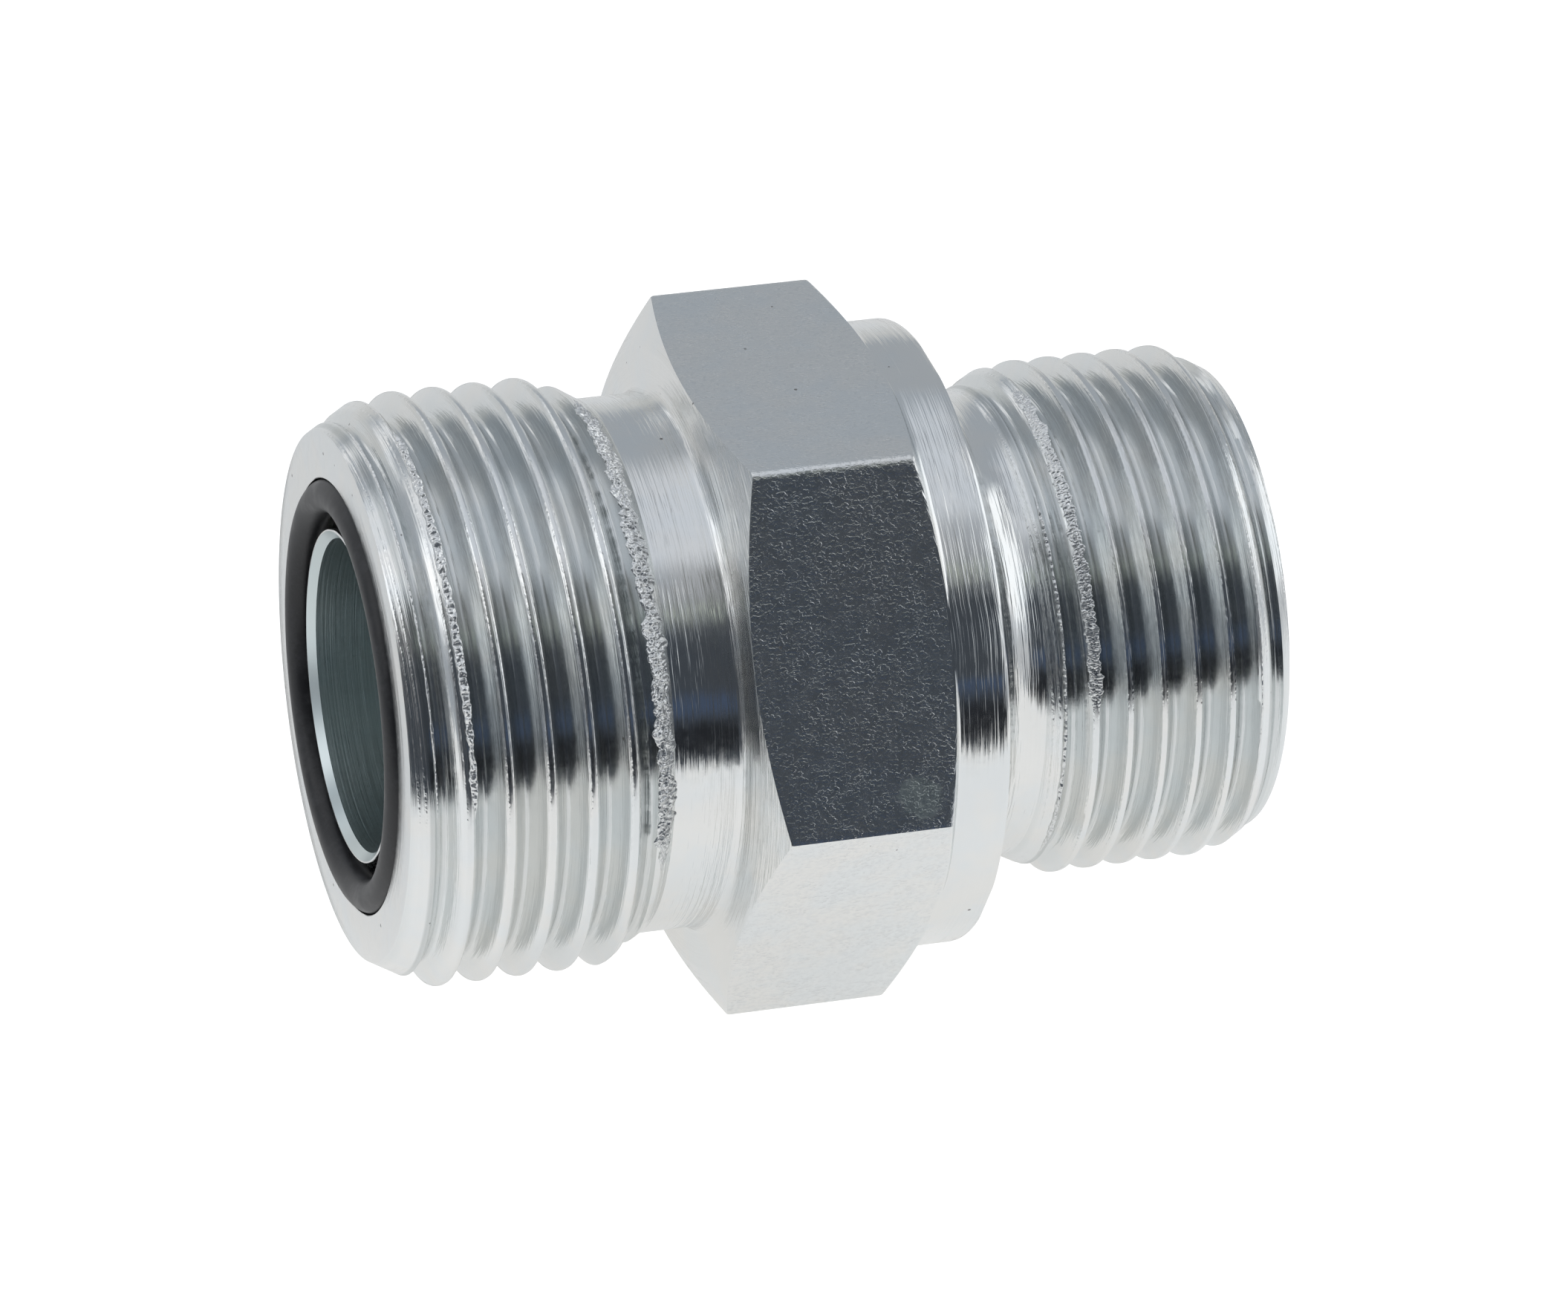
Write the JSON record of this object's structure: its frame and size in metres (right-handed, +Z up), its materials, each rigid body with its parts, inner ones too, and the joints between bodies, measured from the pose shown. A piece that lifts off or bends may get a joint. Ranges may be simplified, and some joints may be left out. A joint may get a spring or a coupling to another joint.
{
  "type": "face seal fitting",
  "caption": "Straight hexagon hydraulic adapter from a face seal thread to a parallel pipe thread, with a collar, a through bore and a rubber ring in its sealing face.",
  "frame": {"origin": "under the middle of the part, on the surface that its lower hexagon flat lies on", "axes": "+X along the bore from the sealing face to the port end, +Z up through the upper hexagon flat"},
  "size_m": [0.0468, 0.037, 0.032],
  "materials": {
    "zinc_plated_steel": "turned and drawn steel under bright blue-white zinc plate",
    "ring_rubber": "smooth moulded nitrile rubber"
  },
  "bodies": {
    "root": {"fitting_body": "zinc_plated_steel", "face_o_ring": "ring_rubber"}
  },
  "joints": []
}
